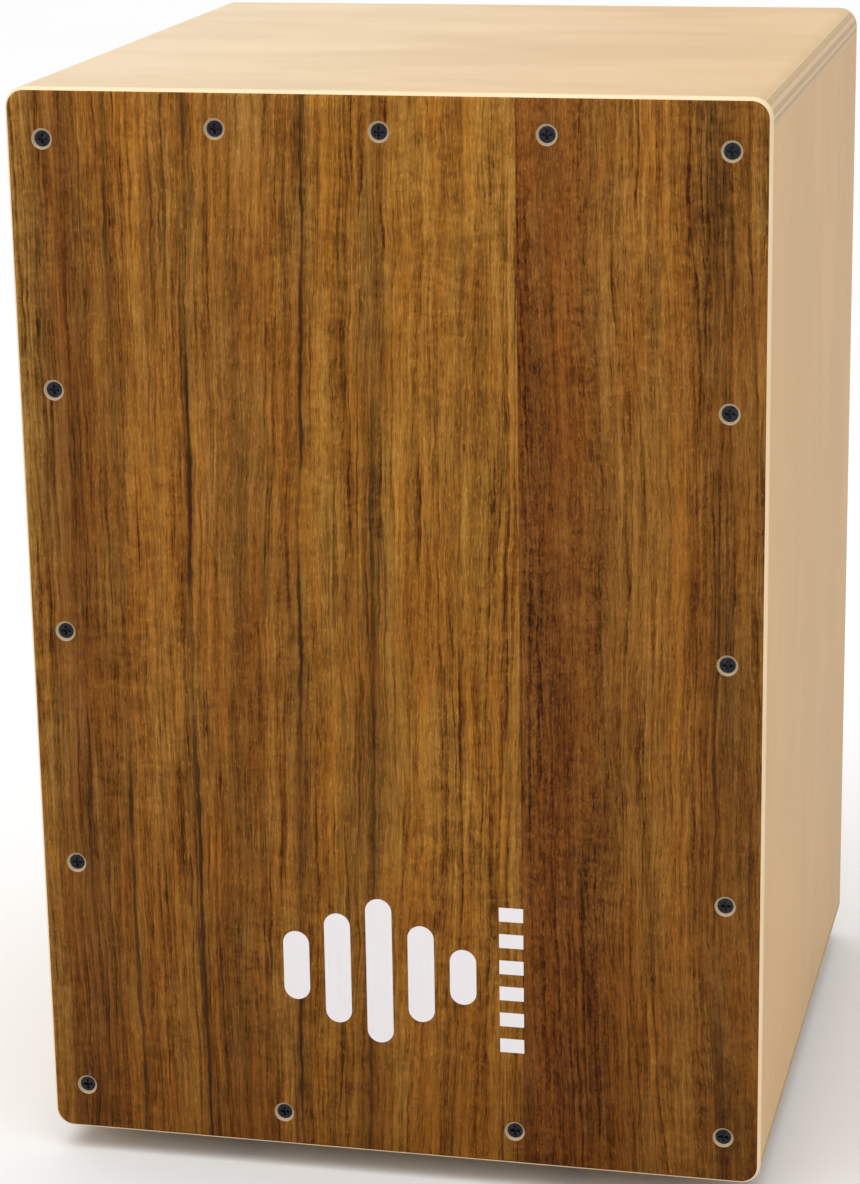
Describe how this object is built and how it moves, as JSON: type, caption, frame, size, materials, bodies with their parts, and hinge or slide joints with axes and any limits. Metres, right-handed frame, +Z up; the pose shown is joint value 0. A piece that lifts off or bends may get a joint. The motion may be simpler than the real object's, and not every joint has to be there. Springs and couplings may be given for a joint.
{
  "type": "string cajon",
  "caption": "Wooden box drum with a screwed-on veneered playing plate, round rear sound port, rubber feet and snare strings tuned by socket-head screws from below.",
  "frame": {"origin": "on the floor, under the middle of the box, level with the undersides of the feet", "axes": "-Y points out of the playing plate, +Y out of the sound port, +X to the right as the player's audience sees it, +Z up"},
  "size_m": [0.3, 0.3, 0.45],
  "materials": {
    "birch_ply": "satin clear lacquer",
    "dark_veneer": "satin clear lacquer",
    "softwood": "planed, unfinished",
    "white_print": "matt print",
    "black_steel": "black oxide",
    "zinc_steel": "bright zinc plate",
    "string_steel": "bright wound steel",
    "brass": "machined",
    "rubber": "matt moulded"
  },
  "bodies": {
    "cabinet": {"top_panel": "birch_ply", "bottom_panel": "birch_ply", "left_side_panel": "birch_ply", "right_side_panel": "birch_ply", "front_plate": "birch_ply", "front_veneer": "dark_veneer", "printed_emblem": "white_print", "back_plate": "birch_ply", "front_batten_top": "softwood", "front_batten_bottom": "softwood", "front_batten_left": "softwood", "front_batten_right": "softwood", "back_batten_top": "softwood", "back_batten_bottom": "softwood", "back_batten_left": "softwood", "back_batten_right": "softwood", "plate_screws": "black_steel", "foot_front_left": "rubber", "foot_front_right": "rubber", "foot_back_left": "rubber", "foot_back_right": "rubber", "foot_washers": "zinc_steel", "foot_screws": "zinc_steel", "string_anchor": "zinc_steel", "anchor_screws": "zinc_steel", "string_ball_ends": "brass", "string_left_outer": "string_steel", "string_left_inner": "string_steel", "string_right_inner": "string_steel", "string_right_outer": "string_steel", "tuner_bracket_left": "zinc_steel", "tuner_bracket_right": "zinc_steel", "bracket_screws": "zinc_steel", "tuner_bush_left": "brass", "tuner_bush_right": "brass"},
    "screw_left": {"tuning_screw_left": "zinc_steel", "retaining_clip_left": "black_steel"},
    "screw_right": {"tuning_screw_right": "zinc_steel", "retaining_clip_right": "black_steel"},
    "block_left": {"tension_block_left": "brass", "string_grub_screws_left": "black_steel"},
    "block_right": {"tension_block_right": "brass", "string_grub_screws_right": "black_steel"}
  },
  "joints": [
    {"name": "tuner_turn_left", "type": "hinge", "parent": "cabinet", "child": "screw_left", "pos_m": [-0.07, -0.1365, 0.0105], "axis": [0, 0, 1], "range_deg": [-1440, 1440]},
    {"name": "tuner_turn_right", "type": "hinge", "parent": "cabinet", "child": "screw_right", "pos_m": [0.07, -0.1365, 0.0105], "axis": [0, 0, 1], "range_deg": [-1440, 1440]},
    {"name": "block_pull_left", "type": "slide", "parent": "cabinet", "child": "block_left", "axis": [0, 0, -1], "range_m": [-0.004, 0.004], "deforming": ["string_left_outer", "string_left_inner"]},
    {"name": "block_pull_right", "type": "slide", "parent": "cabinet", "child": "block_right", "axis": [0, 0, -1], "range_m": [-0.004, 0.004], "deforming": ["string_right_outer", "string_right_inner"]}
  ],
  "couplings": [
    {"joint": "tuner_turn_left", "follows": "block_pull_left", "rad_per_m": 6283.1},
    {"joint": "tuner_turn_right", "follows": "block_pull_right", "rad_per_m": 6283.1}
  ]
}
